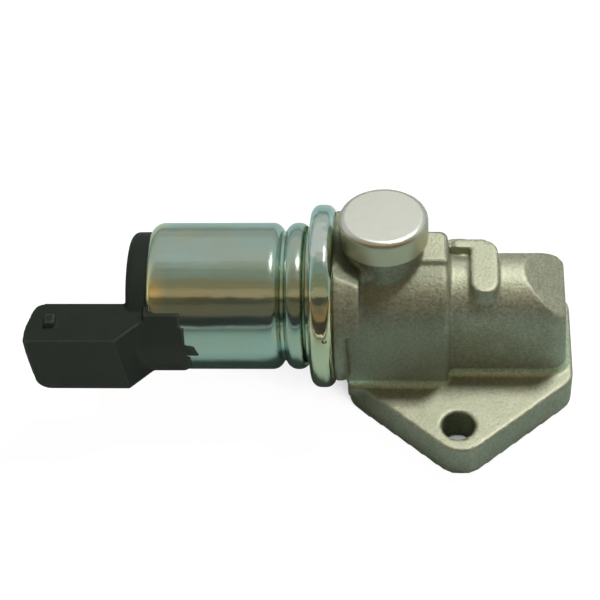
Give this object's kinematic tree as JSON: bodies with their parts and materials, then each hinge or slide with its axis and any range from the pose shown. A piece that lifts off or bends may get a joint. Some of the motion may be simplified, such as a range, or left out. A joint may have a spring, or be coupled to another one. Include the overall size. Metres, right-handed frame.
{
  "type": "idle air control valve",
  "caption": "Cast air body on a bolted flange, with a vent cap on top and a crimped solenoid behind it that has a moulded plug shroud at its side and draws back a spring-loaded valve head.",
  "frame": {"origin": "on the mounting face, midway between the bolt holes", "axes": "+Z out of the mounting face into the body, X along the valve's axis with the solenoid towards -X, and Y along the line through the bolt holes with the plug shroud on the -Y side"},
  "size_m": [0.1155, 0.0592, 0.0478],
  "materials": {
    "cast_aluminium": "grainy die-cast aluminium",
    "cap_steel": "satin pressed sheet steel",
    "ring_steel": "plated steel with a warm tint, rolled",
    "plated_steel": "smooth plated sheet steel with a green tint",
    "black_plastic": "glass-filled moulded plastic",
    "terminal_brass": "tinned brass blade",
    "foam": "open-cell filter foam",
    "natural_plastic": "moulded bobbin plastic",
    "enamelled_wire": "wound enamelled copper wire",
    "core_steel": "turned soft iron",
    "ground_steel": "ground pin",
    "tube_brass": "drawn tube",
    "bush_bronze": "sintered bronze",
    "seal_rubber": "moulded rubber",
    "spring_steel": "drawn spring wire",
    "valve_aluminium": "turned aluminium"
  },
  "bodies": {
    "housing": {"valve_body": "cast_aluminium", "vent_cap": "cap_steel", "vent_filter": "foam", "crimp_ring": "ring_steel", "solenoid_can": "plated_steel", "connector_housing": "black_plastic", "terminal_upper": "terminal_brass", "terminal_lower": "terminal_brass", "bobbin": "natural_plastic", "coil_winding": "enamelled_wire", "fixed_core": "core_steel", "rear_pole_plate": "core_steel", "front_pole_plate": "core_steel", "guide_tube": "tube_brass", "rear_bush": "bush_bronze", "front_bush": "bush_bronze", "bearing_plate": "cast_aluminium", "body_seal": "seal_rubber", "return_spring": "spring_steel"},
    "plunger": {"armature": "core_steel", "valve_shaft": "ground_steel", "valve_head": "valve_aluminium", "retaining_clip": "spring_steel"}
  },
  "joints": [
    {"name": "plunger_slide", "type": "slide", "parent": "housing", "child": "plunger", "axis": [-1, 0, 0], "range_m": [0, 0.004], "stiffness_N_per_m": 180, "springref_m": -0.012, "deforming": ["return_spring"]}
  ]
}
